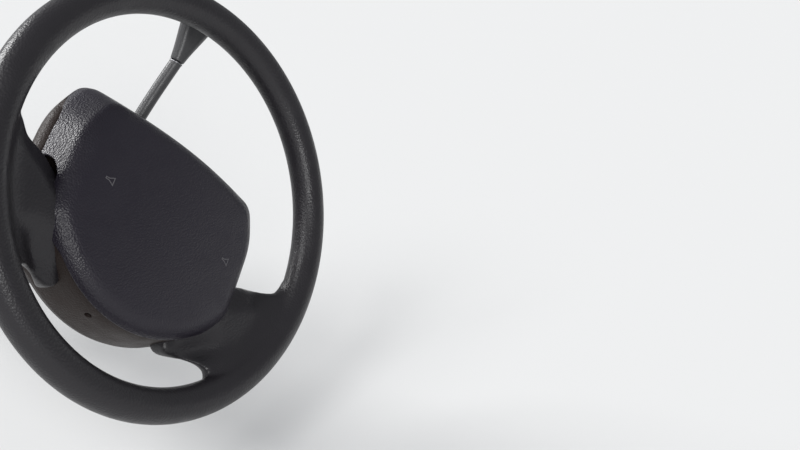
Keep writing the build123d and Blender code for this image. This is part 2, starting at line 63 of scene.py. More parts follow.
# %% [markdown]
# ## Two drawing frames
#
# A wheel is easy to draw when it lies flat, with z towards the driver. The column slopes by 24 degrees,
# and the parked wheel stands turned by 48 degrees, so the same drawing is placed by one matrix at the end.
# The drawings are in millimetres, as a moulder would write them.

# %% The column's frame and the wheel's frame
RAKE, TURNED = math.radians(24), math.radians(48)
axis = Vector((0, -math.cos(RAKE), math.sin(RAKE)))
upright = Vector((0, math.sin(RAKE), math.cos(RAKE)))
rim_middle = -(upright * 0.052 + axis * -0.330)
MM = Matrix.Scale(0.001, 4)
column = Matrix.Translation(rim_middle) @ Matrix((Vector((1, 0, 0)), upright, axis)).transposed().to_4x4() @ MM
wheel = column @ Matrix.Rotation(-TURNED, 4, "Z")
print("middle of the rim", [round(x, 4) for x in rim_middle])

# %% [markdown]
# ## The camera
#
# The wheel is seen from its left and from above. The place of the camera was worked out from the ellipse
# of the rim in the photograph, and it looks along its own -Z.

# %% Place the camera
right = Vector((0.5367, -0.8357, 0.1164))
up = Vector((0.3183, 0.3283, 0.8893))
back = Vector((-0.7814, -0.4403, 0.4422))
camera = bpy.data.objects.new("camera", bpy.data.cameras.new("camera"))
scene.collection.objects.link(camera)
camera.matrix_world = Matrix.Translation((-0.5716, -0.8746, 0.4700)) @ Matrix((right, up, back)).transposed().to_4x4()
camera.data.lens, camera.data.sensor_width = 43.875, 36
scene.camera = camera
print("the camera is", round((camera.location - rim_middle).length, 3), "m from the rim's middle")

# %% [markdown]
# ## Soft studio light
#
# The wheel is dark, so its form shows in the reflections of wide, soft lights. A high one on the left draws
# the rim. One from ahead lays a sheen on the hub's left wall, and a weak one from behind the viewer draws
# the round edge between that wall and the front. They are sun lamps with a wide angle, so that they light
# the whole floor alike, and the world fills the rest evenly.

# %% Lamps, world and floor
scene.view_settings.view_transform = "Standard"


def lamp(name, direction, angle, strength):
    """A soft light from a direction. A white sheet that faces it gets strength / pi."""
    light = bpy.data.lights.new(name, "SUN")
    light.energy, light.angle = strength, math.radians(angle)
    holder = bpy.data.objects.new(name, light)
    scene.collection.objects.link(holder)
    holder.location = rim_middle + 2 * Vector(direction)
    holder.rotation_mode = "QUATERNION"
    holder.rotation_quaternion = Vector(direction).to_track_quat("Z", "Y")
    print(name, "lamp", angle, "degrees wide")


lamp("left", (-0.67, 0.21, 0.71), 28, 1.5)
lamp("ahead", (-0.14, 0.86, 0.50), 26, 2.5)
lamp("behind", (-0.62, -0.70, 0.36), 20, 1.2)
scene.world = bpy.data.worlds.new("studio")
scene.world.use_nodes = True
sky = scene.world.node_tree.nodes["Background"]
sky.inputs["Color"].default_value = (0.95, 0.97, 1, 1)
sky.inputs["Strength"].default_value = 0.35

# %% [markdown]
# The floor is a plain pale sheet under the lowest point. It isn't part of the object. Where the camera or
# a reflection sees it, a little white is added, so that it stays pale far away and still takes the shadow.

# %% The floor
FLOOR_Z = cad_lo.z - 0.002
sheet = bmesh.new()
bmesh.ops.create_grid(sheet, x_segments=1, y_segments=1, size=60)
bmesh.ops.translate(sheet, verts=sheet.verts, vec=(0, 0, FLOOR_Z))
floor_mesh = bpy.data.meshes.new("floor")
sheet.to_mesh(floor_mesh)
sheet.free()
floor = bpy.data.objects.new("floor", floor_mesh)
scene.collection.objects.link(floor)
pale = bpy.data.materials.new("pale_floor")
pale.use_nodes = True
sheet_face = pale.node_tree.nodes["Principled BSDF"]
sheet_face.inputs["Base Color"].default_value = (0.52, 0.52, 0.515, 1)
sheet_face.inputs["Roughness"].default_value = 1
sheet_face.inputs["Specular IOR Level"].default_value = 0
sheet_face.inputs["Emission Color"].default_value = (0.95, 0.97, 1, 1)
seen = pale.node_tree.nodes.new("ShaderNodeLightPath")
share = pale.node_tree.nodes.new("ShaderNodeMath")
share.operation = "MAXIMUM"
dimmed = pale.node_tree.nodes.new("ShaderNodeMath")
dimmed.operation, dimmed.inputs[1].default_value = "MULTIPLY", 0.25
pale.node_tree.links.new(seen.outputs["Is Camera Ray"], share.inputs[0])
pale.node_tree.links.new(seen.outputs["Is Glossy Ray"], share.inputs[1])
pale.node_tree.links.new(share.outputs["Value"], dimmed.inputs[0])
pale.node_tree.links.new(dimmed.outputs["Value"], sheet_face.inputs["Emission Strength"])
floor.data.materials.append(pale)
print("floor at", round(FLOOR_Z, 3))

# %% [markdown]
# ## Finishes
#
# Car interiors are mostly moulded plastic whose grain is etched into the mould: small pebbles about a
# millimetre across, with fine roughness on them. A Voronoi texture makes the pebbles and a noise the
# slow change of tone, and both read Object coordinates, so the grain has its real size in every piece.


# %% A grained, moulded plastic
def moulded(name, colour, rough, grain, relief, drift=0.12, polish=0.07, specular=0.5):
    """grain is the pebbles' size and relief their height, in metres."""
    material = bpy.data.materials.new(name + "_finish")
    material.use_nodes = True
    nodes, links = material.node_tree.nodes, material.node_tree.links
    surface = nodes["Principled BSDF"]
    surface.inputs["Specular IOR Level"].default_value = specular
    place = nodes.new("ShaderNodeTexCoord").outputs["Object"]

    cloud = nodes.new("ShaderNodeTexNoise")
    cloud.inputs["Scale"].default_value = 14
    cloud.inputs["Detail"].default_value = 5
    tone = nodes.new("ShaderNodeMix")
    tone.data_type = "RGBA"
    tone.inputs["A"].default_value = (*[c * (1 - drift) for c in colour], 1)
    tone.inputs["B"].default_value = (*[c * (1 + drift) for c in colour], 1)
    links.new(place, cloud.inputs["Vector"])
    links.new(cloud.outputs["Fac"], tone.inputs["Factor"])
    links.new(tone.outputs["Result"], surface.inputs["Base Color"])

    handled = nodes.new("ShaderNodeTexNoise")
    handled.inputs["Scale"].default_value = 55
    handled.inputs["Detail"].default_value = 6
    gloss = nodes.new("ShaderNodeMapRange")
    gloss.inputs["From Min"].default_value = 0.3
    gloss.inputs["From Max"].default_value = 0.7
    gloss.inputs["To Min"].default_value = rough - polish
    gloss.inputs["To Max"].default_value = rough + polish
    links.new(place, handled.inputs["Vector"])
    links.new(handled.outputs["Fac"], gloss.inputs["Value"])
    links.new(gloss.outputs["Result"], surface.inputs["Roughness"])

    pebbles = nodes.new("ShaderNodeTexVoronoi")
    pebbles.feature = "SMOOTH_F1"
    pebbles.inputs["Scale"].default_value = 1 / grain
    pebbles.inputs["Smoothness"].default_value = 0.35
    pebbles.inputs["Randomness"].default_value = 1
    bump = nodes.new("ShaderNodeBump")
    bump.invert = True
    bump.inputs["Strength"].default_value = 0.8
    bump.inputs["Distance"].default_value = relief
    links.new(place, pebbles.inputs["Vector"])
    links.new(pebbles.outputs["Distance"], bump.inputs["Height"])
    links.new(bump.outputs["Normal"], surface.inputs["Normal"])
    print(name, "grain", round(grain * 1000, 2), "mm")
    return material


# %% The plastics
wheel_foam = moulded("wheel_foam", (0.017, 0.0155, 0.0185), 0.38, 0.0019, 0.0003, specular=0.42)
cover_plastic = moulded("cover_plastic", (0.014, 0.0115, 0.0195), 0.40, 0.0016, 0.0004, specular=0.42)
# The brown tint in the back cover's colour is painted warm bounce light, not the plastic's own colour.
back_plastic = moulded("back_plastic", (0.026, 0.0185, 0.0165), 0.46, 0.0016, 0.00035, specular=0.2)
column_plastic = moulded("column_plastic", (0.030, 0.031, 0.035), 0.5, 0.0014, 0.00025)
stalk_plastic = moulded("stalk_plastic", (0.024, 0.024, 0.027), 0.34, 0.0009, 0.00006)
grip_plastic = moulded("grip_plastic", (0.052, 0.052, 0.055), 0.36, 0.0011, 0.00012)
black_plastic = moulded("black_plastic", (0.020, 0.020, 0.022), 0.45, 0.0009, 0.00003)
hazard_plastic = moulded("hazard_plastic", (0.018, 0.018, 0.020), 0.3, 0.0007, 0.00002)
airbag_block = moulded("airbag_block", (0.30, 0.28, 0.24), 0.8, 0.0020, 0.00012)

# %% [markdown]
# Turned shafts and tubes carry fine rings round the column, while castings and pressed plates are only
# dull and clouded. So the metals share one recipe, in which a Mapping node turns the noise to the column
# and stretches it: many changes along the axis make rings, and even ones make a cast skin.


# %% A metal
def metal(name, colour, rough, metallic, stretch, relief):
    """stretch is the noise's scale across and along the column, per metre."""
    material = bpy.data.materials.new(name + "_finish")
    material.use_nodes = True
    nodes, links = material.node_tree.nodes, material.node_tree.links
    surface = nodes["Principled BSDF"]
    surface.inputs["Metallic"].default_value = metallic
    turn = nodes.new("ShaderNodeMapping")
    turn.inputs["Rotation"].default_value = (-(math.pi / 2 - RAKE), 0, 0)
    turn.inputs["Scale"].default_value = (stretch[0], stretch[0], stretch[1])
    links.new(nodes.new("ShaderNodeTexCoord").outputs["Object"], turn.inputs["Vector"])

    marks = nodes.new("ShaderNodeTexNoise")
    marks.inputs["Scale"].default_value = 1
    marks.inputs["Detail"].default_value = 8
    marks.inputs["Roughness"].default_value = 0.65
    tone = nodes.new("ShaderNodeMix")
    tone.data_type = "RGBA"
    tone.inputs["A"].default_value = (*[c * 0.72 for c in colour], 1)
    tone.inputs["B"].default_value = (*[c * 1.18 for c in colour], 1)
    gloss = nodes.new("ShaderNodeMapRange")
    gloss.inputs["From Min"].default_value = 0.3
    gloss.inputs["From Max"].default_value = 0.7
    gloss.inputs["To Min"].default_value = rough + 0.1
    gloss.inputs["To Max"].default_value = rough - 0.08
    bump = nodes.new("ShaderNodeBump")
    bump.inputs["Strength"].default_value = 0.6
    bump.inputs["Distance"].default_value = relief
    links.new(turn.outputs["Vector"], marks.inputs["Vector"])
    for target in (tone.inputs["Factor"], gloss.inputs["Value"], bump.inputs["Height"]):
        links.new(marks.outputs["Fac"], target)
    links.new(tone.outputs["Result"], surface.inputs["Base Color"])
    links.new(gloss.outputs["Result"], surface.inputs["Roughness"])
    links.new(bump.outputs["Normal"], surface.inputs["Normal"])
    print(name, "marks", stretch, "per metre")
    return material


# %% The metals
armature_metal = metal("armature_metal", (0.42, 0.42, 0.43), 0.5, 1, (220, 220), 0.00012)
housing_metal = metal("housing_metal", (0.46, 0.46, 0.47), 0.48, 1, (260, 260), 0.00014)
shaft_steel = metal("shaft_steel", (0.52, 0.52, 0.53), 0.3, 1, (30, 1800), 0.00002)
lock_metal = metal("lock_metal", (0.55, 0.55, 0.56), 0.28, 1, (60, 900), 0.00002)
key_metal = metal("key_metal", (0.62, 0.60, 0.55), 0.3, 1, (900, 120), 0.00002)
black_steel = metal("black_steel", (0.030, 0.030, 0.032), 0.42, 0, (300, 300), 0.00006)

# %% [markdown]
# The CAD nodes that stay as they are get their finish by their material slots.

# %% Dress the CAD nodes
dress = {
    "wheel_armature": armature_metal, "airbag_module": airbag_block, "upper_shaft": shaft_steel,
    "shaft_nut": shaft_steel, "clock_spring": black_plastic, "turn_signal_switch": black_plastic,
    "cover_screw": shaft_steel, "left_pivot_pin": shaft_steel, "right_pivot_pin": shaft_steel,
    "column_tube": black_steel, "lower_bearing": black_plastic, "lower_shaft": shaft_steel,
    "selector_collar": black_plastic, "tilt_housing": housing_metal, "pivot_yoke": black_steel,
    "mounting_bracket": black_steel,
}
for node, material in dress.items():
    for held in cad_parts[node].material_slots:
        held.material = material
print(len(dress), "CAD nodes dressed")

# %% [markdown]
# ## Helpers for new pieces
#
# A new piece is drawn in a bmesh in its drawing frame.


# %% From a drawing to a piece
def finished(name, drawing, place, material, body, *nodes, crease):
    """Edges sharper than crease degrees stay sharp. Without nodes the piece is an addition to the CAD model."""
    bmesh.ops.remove_doubles(drawing, verts=drawing.verts, dist=0.0005)
    bmesh.ops.recalc_face_normals(drawing, faces=drawing.faces)
    bmesh.ops.transform(drawing, matrix=place, verts=drawing.verts)
    mesh = bpy.data.meshes.new(name)
    drawing.to_mesh(mesh)
    drawing.free()
    mesh.materials.append(material)
    mesh.shade_smooth()
    mesh.set_sharp_from_angle(angle=math.radians(crease))
    piece = bpy.data.objects.new(name, mesh)
    scene.collection.objects.link(piece)
    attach(piece, body)
    if nodes:
        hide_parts(*nodes)
    print(name, len(mesh.polygons), "faces")
    return piece


# %% [markdown]
# Soft mouldings have no sharp corner anywhere. Rather than round each edge by hand, their overlapping
# closed forms are wrapped by one voxel skin, as if they were dipped, and the skin is then smoothed.


# %% Wrap closed forms in one skin
def skin(drawing, voxel, passes):
    """Returns a new drawing: the union of the drawing's closed forms, in voxels of that many millimetres."""
    raw = bpy.data.meshes.new("raw")
    drawing.to_mesh(raw)
    drawing.free()
    body = bpy.data.objects.new("raw", raw)
    scene.collection.objects.link(body)
    remesh = body.modifiers.new("skin", "REMESH")
    remesh.mode, remesh.voxel_size = "VOXEL", voxel
    bpy.context.view_layer.update()
    wrapped = bpy.data.meshes.new_from_object(body.evaluated_get(bpy.context.evaluated_depsgraph_get()))
    bpy.data.objects.remove(body)
    bpy.data.meshes.remove(raw)
    result = bmesh.new()
    result.from_mesh(wrapped)
    bpy.data.meshes.remove(wrapped)
    soften(result, result.verts, passes)
    print("skin of", len(result.faces), "faces")
    return result


def soften(drawing, verts, passes):
    """Moves each of the verts half way to the middle of its neighbours, again and again."""
    for _ in range(passes):
        bmesh.ops.smooth_vert(
            drawing, verts=list(verts), factor=0.5, use_axis_x=True, use_axis_y=True, use_axis_z=True
        )


def ease(t):
    """0 before 0, 1 after 1, and smooth between."""
    t = min(1, max(0, t))
    return t * t * (3 - 2 * t)


# %% [markdown]
# ## The rim and its spokes
#
# The rim is soft foam moulded over a metal ring, with a round section for the hands. A circle is spun
# round the wheel's axis. The spokes are part of the same moulding. Each is a flat outline, drawn from the
# photograph, that is cut into a fine grid, doubled, and lifted to a front and a rear surface. The other
# spoke is its mirror image, and one skin then joins all three.

# %% The ring
RIM, FOAM = 179, 16  # radius of the ring's middle line, and of its section
foam = bmesh.new()
section = bmesh.ops.create_circle(foam, radius=FOAM, segments=48)["verts"]
bmesh.ops.rotate(foam, verts=section, matrix=Matrix.Rotation(math.pi / 2, 3, "X"))
bmesh.ops.translate(foam, verts=section, vec=(RIM, 0, 0))
bmesh.ops.spin(foam, geom=foam.verts[:] + foam.edges[:], axis=(0, 0, 1), angle=2 * math.pi, steps=180, use_merge=True)
bmesh.ops.recalc_face_normals(foam, faces=foam.faces)
print("ring", len(foam.faces), "faces")

# %% The edges of a spoke, from the photograph
TOP = [  # x and y of the upper edge, from the hub out to the ring
    (98, -36), (103, -34), (109, -30.5), (116, -27), (124, -24), (133, -21.6), (142, -19.4), (150, -17.6),
    (156, -15.2), (160, -11.5), (162.3, -6), (164, 0), (166, 7), (170, 14),
]
LOW = [  # the lower edge, from the ring in to the tip beside the hub
    (99, -143), (103, -137), (107, -130), (108, -124), (105, -118.5), (98, -115.5), (91, -115.5), (84, -116.5),
    (77, -117.8), (71, -118.8), (65, -118.4), (61, -115), (58, -109),
]
IN_THE_RIM = [(175, 8), (177, -5), (175, -28), (166, -62), (150, -95), (130, -120), (112, -137)]
IN_THE_HUB = [(70, -98), (88, -82), (97, -60)]


def to_edge(point, line):
    """The distance from a point to the nearest stretch of a line of points."""
    near = 1e9
    for a, b in zip(line, line[1:]):
        a, b = Vector(a), Vector(b)
        t = min(1, max(0, (point - a).dot(b - a) / (b - a).length_squared))
        near = min(near, (point - a.lerp(b, t)).length)
    return near


def rounding(t):
    """1 at an edge and 0 a full radius inside it, along a quarter circle."""
    return 1 - math.sqrt(1 - (1 - min(1, t)) ** 2)


def cut(drawing, point, normal):
    """Divides the faces along a plane, and takes nothing away."""
    parts = drawing.verts[:] + drawing.edges[:] + drawing.faces[:]
    bmesh.ops.bisect_plane(drawing, geom=parts, plane_co=point, plane_no=normal)


print("spoke edges of", len(TOP), "and", len(LOW), "points")

# %% [markdown]
# A spoke is a wing. Its front is highest in the middle, slopes down towards both edges and is rounded over
# at them, and the lower tip beside the hub is also the deepest place. A fillet sweeps the front up into the
# ring, wide in the middle of the spoke and tight at its edges. A fine grid of points carries that surface.


# %% Front and rear surface of a spoke
def surfaces(x, y):
    """The z of the front and of the rear surface of the right spoke."""
    point, out = Vector((x, y)), math.hypot(x, y)
    top, low = to_edge(point, TOP), to_edge(point, LOW)
    # The front without its fillet. The slopes fade out where the spoke reaches the ring.
    slope = (17 * (1 - ease(low / 44)) + 13 * (1 - ease(top / 26))) * (1 - ease((out - 138) / 20))
    base = max(-22, -1.2 - 6 * rounding(top / 7) - 2.5 * rounding(low / 6) - slope)
    # The fillet is a circle that touches the front and the ring's section.
    fillet = 7 + 16 * ease(min(top, low) / 22)
    middle = base + fillet
    start = RIM - math.sqrt((FOAM + fillet) ** 2 - middle**2)
    across = min(max(0, out - start), fillet * (RIM - start) / (FOAM + fillet))
    front = middle - math.sqrt(fillet**2 - across**2)
    # The rear rises towards the ring and sinks at the tip.
    deep = 17 * (1 - ease((x - 60) / 30)) * (1 - ease((low - 6) / 20))
    rear = -24 + 4 * rounding(min(top, low) / 8) + 11 * ease((out - 138) / 28) - deep
    return front, min(rear, front - 4)


print("front and rear at mid spoke", [round(z, 1) for z in surfaces(130, -60)])

# %% One spoke, mirrored to the other side
GRID_X = [60 + 3 * k for k in range(40)]
GRID_Y = [10 - 3.9 * k for k in range(40)]
for side in (1, -1):
    slab = bmesh.new()
    slab.faces.new([slab.verts.new((x, y, 0)) for x, y in TOP + IN_THE_RIM + LOW + IN_THE_HUB])
    bmesh.ops.triangulate(slab, faces=slab.faces)
    for x, y in zip(GRID_X, GRID_Y):
        for place, normal in (((x, 0, 0), (1, 0, 0)), ((0, y, 0), (0, 1, 0))):
            cut(slab, place, normal)
    bmesh.ops.triangulate(slab, faces=slab.faces)
    rear = bmesh.ops.extrude_face_region(slab, geom=slab.faces[:], use_keep_orig=True)["geom"]
    rear = {v for v in rear if isinstance(v, bmesh.types.BMVert)}
    for v in slab.verts:
        v.co.z = surfaces(v.co.x, v.co.y)[v in rear]
        v.co.x *= side
    bmesh.ops.recalc_face_normals(slab, faces=slab.faces)
    spoke_mesh = bpy.data.meshes.new("spoke")
    slab.to_mesh(spoke_mesh)
    slab.free()
    foam.from_mesh(spoke_mesh)
    bpy.data.meshes.remove(spoke_mesh)
print("spokes added,", len(foam.faces), "faces")

# %% Skin the foam
foam = skin(foam, 1.5, 5)
soften(foam, [v for v in foam.verts if v.co.xy.length < RIM - FOAM - 1], 5)
finished("steering_wheel_foam", foam, wheel, wheel_foam, "steering_wheel", "wheel_rim", crease=60)

# %% [markdown]
# ## The hub's outline
#
# The airbag cover and the back cover share one outline: an arc about the wheel's centre below, straight
# sides, and a crowned top with wide corners. A circle is cut by three planes, its corners are bevelled,
# and the top and the shoulders are then eased inwards. `grown` makes any larger or smaller ring of it.

# %% The hub's measures
HUB_ARC, HUB_SIDE, HUB_TOP = 124, 105, 52  # radius of the arc, and distances from the wheel's centre
HUB_MIDDLE, HUB_REACH = -37, 87  # y of the hub's middle, and how far the arc lies below it
print("hub", 2 * HUB_SIDE, "mm wide and", HUB_ARC + HUB_TOP, "mm high")


# %% The outline as one face
def hub_outline(z):
    """A drawing that holds the hub's outline as one face at z."""
    face = bmesh.new()
    bmesh.ops.create_circle(face, cap_ends=True, radius=HUB_ARC, segments=160)
    sides = [((s * HUB_SIDE, 0, 0), (s, 0, 0)) for s in (1, -1)]
    for point, normal in sides + [((0, HUB_TOP, 0), (0, 1, 0))]:
        parts = face.verts[:] + face.edges[:] + face.faces[:]
        bmesh.ops.bisect_plane(face, geom=parts, plane_co=point, plane_no=normal, clear_outer=True)
    top = [v for v in face.verts if v.co.y > HUB_TOP - 1 and abs(v.co.x) > HUB_SIDE - 1]
    feet = [v for v in face.verts if v.co.y < -60 and abs(v.co.x) > HUB_SIDE - 0.1]
    bmesh.ops.bevel(face, geom=top, offset=8, segments=6, profile=0.5, affect="VERTICES", material=-1)
    bmesh.ops.bevel(face, geom=feet, offset=9, segments=5, profile=0.5, affect="VERTICES", material=-1)
    long_edges = [e for e in face.edges if e.calc_length() > 25]
    bmesh.ops.subdivide_edges(face, edges=long_edges, cuts=14)
    for v in face.verts:  # lean the shoulders in, and crown the top
        high = max(0, v.co.y + 5)
        x = v.co.x
        v.co.x -= math.copysign(high**2 / 200, x) * min(1, abs(x) / 90)
        v.co.y -= x**2 / 1500 * ease(high / 50)
        v.co.z = z
    return face


def grown(verts, growth, z, before=0.0, top=1.0):
    """Moves a ring of the outline to z, where it stands out by growth millimetres instead of before.

    Its upper half stands out by top times as much upwards."""
    for v in verts:
        share = top if v.co.y > HUB_MIDDLE else 1
        v.co.x *= (HUB_SIDE + growth) / (HUB_SIDE + before)
        stretch = (HUB_REACH + growth * share) / (HUB_REACH + before * share)
        v.co.y = HUB_MIDDLE + (v.co.y - HUB_MIDDLE) * stretch
        v.co.z = z


trial = hub_outline(0)
print("outline of", len(trial.verts), "points")
trial.free()

# %% [markdown]
# ## The airbag cover
#
# The cover is a wide, soft pad: its walls flare towards the back, its front is slightly domed, and the edge
# between them is so round that it shows as a broad band of light. The form is built of four rings, which
# are bevelled in front, skinned and domed. A chain of cuts then follows the seam in the photograph, and what
# lies behind it goes: round the hub's top the wall reaches far back, beside a spoke it ends early, and
# below it ends close behind the front, where the back cover comes forward.

# %% Rings, bevel and skin
FLARE, FULLER = 11.2, 1.4  # how far the walls stand out behind, and how much more they do at the top
PAD_BACK, PAD_WALL, PAD_EDGE, PAD_FRONT = -52, -36, -5, 12  # z of the rings
pad = hub_outline(PAD_BACK)
front = pad.faces[:]
grown(pad.verts, FLARE, PAD_BACK, top=FULLER)
for growth, before, z in ((FLARE, FLARE, PAD_WALL), (0.0, FLARE, PAD_EDGE), (-6.1, 0.0, PAD_FRONT)):
    lifted = bmesh.ops.extrude_face_region(pad, geom=front, use_keep_orig=(z == PAD_WALL))["geom"]
    front = [f for f in lifted if isinstance(f, bmesh.types.BMFace)]
    corners = [v for v in lifted if isinstance(v, bmesh.types.BMVert)]
    grown(corners, growth, z, before, top=1 if z == PAD_FRONT else FULLER)
for v in pad.verts:  # the top rises a little more behind
    if v.co.z < PAD_BACK + 1 and v.co.y > HUB_MIDDLE:
        v.co.y = HUB_MIDDLE + (v.co.y - HUB_MIDDLE) * 1.05
bmesh.ops.recalc_face_normals(pad, faces=pad.faces)
edge = [e for e in pad.edges if min(v.co.z for v in e.verts) > PAD_FRONT - 0.1]
bmesh.ops.bevel(pad, geom=edge, offset=10, segments=8, profile=0.5, affect="EDGES", material=-1)
bmesh.ops.triangulate(pad, faces=pad.faces)
pad = skin(pad, 1.8, 6)


# %% Dome the front
def domed(x, y):
    """How far the front has dropped at a point: a ball of 760 mm radius."""
    return (x**2 + (y - HUB_MIDDLE) ** 2) / 1520


for v in pad.verts:
    v.co.z -= min(domed(v.co.x, v.co.y), 9) * ease((v.co.z + 8) / 20)
print("front drops by", round(domed(HUB_SIDE, HUB_MIDDLE), 1), "mm at its sides")

# %% Cut the wall along the seam
UPPER_SEAM = [  # y and z of the wall's end, from the hub's top down to a spoke
    (90, -46.5), (45, -46.5), (34, -40.5), (24, -34.5), (14, -31.5), (-21.5, -31.5),
]
SEAM = UPPER_SEAM + [  # and on, past the spoke to the hub's bottom
    (-21.5, -25), (-24, -19), (-28.2, -14.5), (-34.4, -10.7), (-41, -8.6), (-46, -8.3), (-85, -8.3), (-97, -3.5),
    (-150, -3.5),
]
for (y0, z0), (y1, z1) in zip(SEAM, SEAM[1:]):
    cut(pad, (0, y0, z0), (0, z1 - z0, y0 - y1))


def seam_at(y):
    """The z at which the wall ends."""
    for (y0, z0), (y1, z1) in zip(SEAM, SEAM[1:]):
        if y1 < y <= y0:
            return z0 + (z1 - z0) * (y - y0) / (y1 - y0)


def behind_seam(face):
    middle = face.calc_center_median()
    return middle.z < seam_at(middle.y)


bmesh.ops.delete(pad, geom=[f for f in pad.faces if behind_seam(f)], context="FACES")
airbag_cover = finished("airbag_cover_skin", pad, wheel, cover_plastic, "steering_wheel", "airbag_cover", crease=60)
wall = airbag_cover.modifiers.new("wall", "SOLIDIFY")
wall.thickness, wall.offset = 0.003, -1

# %% [markdown]
# ## The back cover
#
# Behind the pad a tray closes the hub. It is a tougher, smoother plastic. Its colour is a little browner than
# the pad's, and that brown is painted warm bounce light, not a tint of the plastic itself. Its lower wall comes
# forward between the spokes as far as the pad. The tray is drawn out from ring to ring of the same outline, its lower
# wall is slimmed towards the back, and a bridge joins the last ring to the round opening for the column.

# %% The tray
TRAY = [  # growth and z of its rings, from the front to the floor
    (-4.5, -1.5), (-1.6, -5), (4.4, -26), (11.2, -46), (10.4, -51.5), (6.0, -55), (0, -55),
]
TRAY_FLOOR = TRAY[-1][1]
TRAY_FULLER = 1.75  # like FULLER, so that the tray meets the pad's wall at the top
tray = hub_outline(0)
loop = tray.edges[:]
bmesh.ops.delete(tray, geom=tray.faces[:], context="FACES_ONLY")
grown(tray.verts, *TRAY[0], top=TRAY_FULLER)
for (before, _), (growth, z) in zip(TRAY, TRAY[1:]):
    drawn = bmesh.ops.extrude_edge_only(tray, edges=loop)["geom"]
    loop = [e for e in drawn if isinstance(e, bmesh.types.BMEdge)]
    grown({v for e in loop for v in e.verts}, growth, z, before, top=TRAY_FULLER)
for v in tray.verts:  # slim the lower wall: turn is 0 straight down
    turn = math.degrees(math.atan2(abs(v.co.x), -v.co.y))
    deep = min(1, max(0, (-5 - v.co.z) / 41))
    slim = 4.9 * (1 - ease((turn - 30) / 14)) * deep
    v.co.xy *= 1 - slim / v.co.xy.length
opening = bmesh.ops.create_circle(tray, radius=21.5, segments=64)["verts"]
bmesh.ops.translate(tray, verts=opening, vec=(0, 0, TRAY_FLOOR))
hole = [e for e in tray.edges if e.verts[0] in opening and e.verts[1] in opening]
bmesh.ops.bridge_loops(tray, edges=loop + hole)
print("tray", len(tray.faces), "faces")

# %% [markdown]
# The tray is cut as the pad asks: its upper part starts a little behind the end of the pad's wall, its sides
# start behind the spokes, and its lower wall comes forward only between the tips of the spokes.

# %% Cut the tray and give it a wall
GAP = 1.1  # between the pad's wall and the tray
TIP = math.radians(47)  # where a spoke's tip ends, from straight down
SHOULDER, SIDE_START = -39.5, -24.6  # the y below which the sides begin, and the z at which they start
cuts = [((0, 0, SIDE_START), (0, 0, 1)), ((0, SHOULDER, 0), (0, 1, 0))]
cuts += [((0, y0, z0 - GAP), (0, z1 - z0, y0 - y1)) for (y0, z0), (y1, z1) in zip(UPPER_SEAM, UPPER_SEAM[1:])]
cuts += [((0, 0, 0), (side * math.cos(TIP), math.sin(TIP), 0)) for side in (1, -1)]
for point, normal in cuts:
    cut(tray, point, normal)


def cut_away(face):
    middle = face.calc_center_median()
    if math.atan2(abs(middle.x), -middle.y) < TIP:
        return False
    start = seam_at(max(middle.y, -21)) - GAP if middle.y > SHOULDER else SIDE_START
    return middle.z > start


bmesh.ops.delete(tray, geom=[f for f in tray.faces if cut_away(f)], context="FACES")
back_cover = finished("back_cover_shell", tray, wheel, back_plastic, "steering_wheel", "back_cover", crease=50)
wall = back_cover.modifiers.new("wall", "SOLIDIFY")
wall.thickness, wall.offset = 0.0025, -1

# %% [markdown]
# A small round hole in the lower wall lets a screwdriver reach the pad's fixing. A Boolean modifier
# bores it through the tray's wall, and the result is kept as the piece's mesh.

# %% Bore the access hole
drill = bmesh.new()
bmesh.ops.create_cone(drill, cap_ends=True, segments=32, radius1=3.2, radius2=3.2, depth=30)
bmesh.ops.rotate(drill, verts=drill.verts, matrix=Matrix.Rotation(math.pi / 2, 3, "X"))
bmesh.ops.translate(drill, verts=drill.verts, vec=(-23, -120, -19))
bmesh.ops.transform(drill, matrix=wheel, verts=drill.verts)
drill_mesh = bpy.data.meshes.new("drill")
drill.to_mesh(drill_mesh)
drill.free()
drill_bit = bpy.data.objects.new("drill", drill_mesh)
scene.collection.objects.link(drill_bit)
bore = back_cover.modifiers.new("bore", "BOOLEAN")
bore.operation, bore.solver, bore.object = "DIFFERENCE", "EXACT", drill_bit
bpy.context.view_layer.update()
bored = bpy.data.meshes.new_from_object(back_cover.evaluated_get(bpy.context.evaluated_depsgraph_get()))
back_cover.modifiers.clear()
back_cover.data = bored
bpy.data.objects.remove(drill_bit)
print("back cover bored,", len(bored.polygons), "faces")

# %% [markdown]
# ## Horn marks
#
# Two small horns are moulded on the pad where it is pressed. Each is a thin raised outline: a face is
# inset, its middle is removed, and the frame that is left is lifted onto the domed surface.

# %% The two horns
HORN = [(-5, 1.1), (-1.5, 1.3), (3.5, 4), (3.5, -4), (-1.5, -1.3), (-5, -1.1)]
horns = bmesh.new()
for x in (-71, 71):
    shape = horns.faces.new([horns.verts.new((x + a, -24 + b, 0.0)) for a, b in HORN])
    shape.normal_update()
    bmesh.ops.inset_individual(horns, faces=[shape], thickness=0.8, use_even_offset=True)
    bmesh.ops.delete(horns, geom=[shape], context="FACES")
bmesh.ops.subdivide_edges(horns, edges=horns.edges, cuts=2)
raised = bmesh.ops.extrude_face_region(horns, geom=horns.faces[:], use_keep_orig=True)["geom"]
bmesh.ops.translate(horns, verts=[v for v in raised if isinstance(v, bmesh.types.BMVert)], vec=(0, 0, 0.9))
for v in horns.verts:
    v.co.z += PAD_FRONT - 0.6 - domed(v.co.x, v.co.y)
horn_paint = moulded("horn_paint", (0.10, 0.096, 0.105), 0.5, 0.0009, 0.00002)
finished("horn_marks", horns, wheel, horn_paint, "steering_wheel", crease=30)

# %% [markdown]
# ## Mouldings and castings behind the wheel
#
# The column's covers, the tilt housing, the yoke and the bracket have the right shape in CAD, but their
# edges are as sharp as a drawing's. A copy of each is merged and wrapped in the same kind of skin, which
# rounds every edge a little and keeps every opening.


